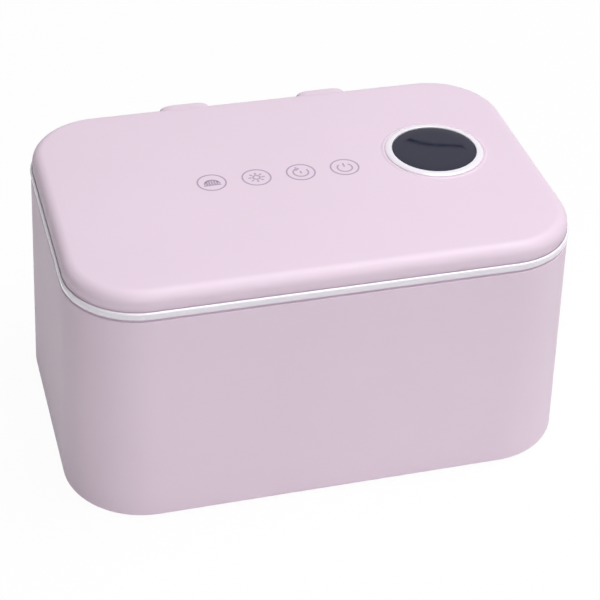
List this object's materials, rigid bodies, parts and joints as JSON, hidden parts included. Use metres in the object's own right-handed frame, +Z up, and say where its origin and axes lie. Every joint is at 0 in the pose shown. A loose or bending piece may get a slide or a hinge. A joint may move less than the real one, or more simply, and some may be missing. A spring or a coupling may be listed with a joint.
{
  "type": "uv sterilizer",
  "caption": "Box-shaped ultraviolet sterilizer and dryer for baby things, with a rear-hinged lid, a round display, touch keys, a steel tub, a wire rack and a fan heater.",
  "frame": {"origin": "bottom centre of the part's box, on the plane that the feet stand on", "axes": "+X to the right seen from the front, +Y to the rear hinge side, +Z up"},
  "size_m": [0.3298, 0.2299, 0.1703],
  "materials": {
    "pink_shell": "smooth satin pale pink",
    "gloss_white": "polished white",
    "white_plastic": "smooth white",
    "tub_steel": "polished sheet steel",
    "rack_chrome": "bright chromed wire",
    "pin_steel": "zinc plated steel",
    "foot_rubber": "matte grey rubber",
    "filter_mesh": "dark fine filter mesh",
    "black_plastic": "fine moulded black",
    "coil_copper": "enamelled copper winding",
    "heater_metal": "bare aluminium fins",
    "green_board": "green circuit board",
    "lamp_board": "white lacquered aluminium board",
    "pin_brass": "plated brass contact pins",
    "lead_rubber": "black sleeved leads",
    "smoked_glass": "dark smoked display window",
    "gasket_silicone": "soft pale silicone",
    "quartz_glass": "clear quartz"
  },
  "bodies": {
    "housing": {"outer_shell": "pink_shell", "inner_liner": "tub_steel", "trim_ring": "gloss_white", "hinge_pin_left": "pin_steel", "hinge_pin_right": "pin_steel", "base_plate": "white_plastic", "foot_1": "foot_rubber", "foot_2": "foot_rubber", "foot_3": "foot_rubber", "foot_4": "foot_rubber", "base_screw_1": "pin_steel", "base_screw_2": "pin_steel", "base_screw_3": "pin_steel", "base_screw_4": "pin_steel", "intake_filter": "filter_mesh", "fan_frame": "black_plastic", "fan_stator": "coil_copper", "air_duct": "white_plastic", "heater_element": "heater_metal", "thermostat": "black_plastic", "fan_screw_1": "pin_steel", "fan_screw_2": "pin_steel", "fan_screw_3": "pin_steel", "fan_screw_4": "pin_steel", "main_board": "green_board", "board_screw_1": "pin_steel", "board_screw_2": "pin_steel", "board_screw_3": "pin_steel", "board_screw_4": "pin_steel", "power_inlet": "black_plastic", "inlet_pin_left": "pin_brass", "inlet_pin_right": "pin_brass", "inlet_lead": "lead_rubber", "body_harness": "lead_rubber", "lid_sensor": "black_plastic"},
    "fan": {"fan_rotor": "black_plastic", "fan_shaft": "pin_steel"},
    "rack": {"wire_rack": "rack_chrome"},
    "lid": {"lid_cover": "pink_shell", "display_bezel": "gloss_white", "display_glass": "smoked_glass", "display_board": "green_board", "touch_board": "green_board", "touch_spring_1": "pin_steel", "touch_spring_2": "pin_steel", "touch_spring_3": "pin_steel", "touch_spring_4": "pin_steel", "lid_inner_panel": "white_plastic", "lid_gasket": "gasket_silicone", "lid_reflector": "tub_steel", "uv_board_left": "lamp_board", "uv_window_left": "quartz_glass", "uv_board_right": "lamp_board", "uv_window_right": "quartz_glass", "lid_screw_1": "pin_steel", "lid_screw_2": "pin_steel", "lid_screw_3": "pin_steel", "lid_screw_4": "pin_steel", "lid_magnet": "pin_steel", "lid_harness": "lead_rubber"}
  },
  "joints": [
    {"name": "lid_hinge", "type": "hinge", "parent": "housing", "child": "lid", "pos_m": [0, 0.10845, 0.154], "axis": [-1, 0, 0], "range_deg": [0, 100]},
    {"name": "fan_spin", "type": "hinge", "parent": "housing", "child": "fan", "pos_m": [0.064, -0.00405, 0.015], "axis": [0, 0, 1], "continuous": true},
    {"name": "rack_lift", "type": "slide", "parent": "housing", "child": "rack", "axis": [0, 0, 1], "range_m": [0, 0.1]}
  ]
}
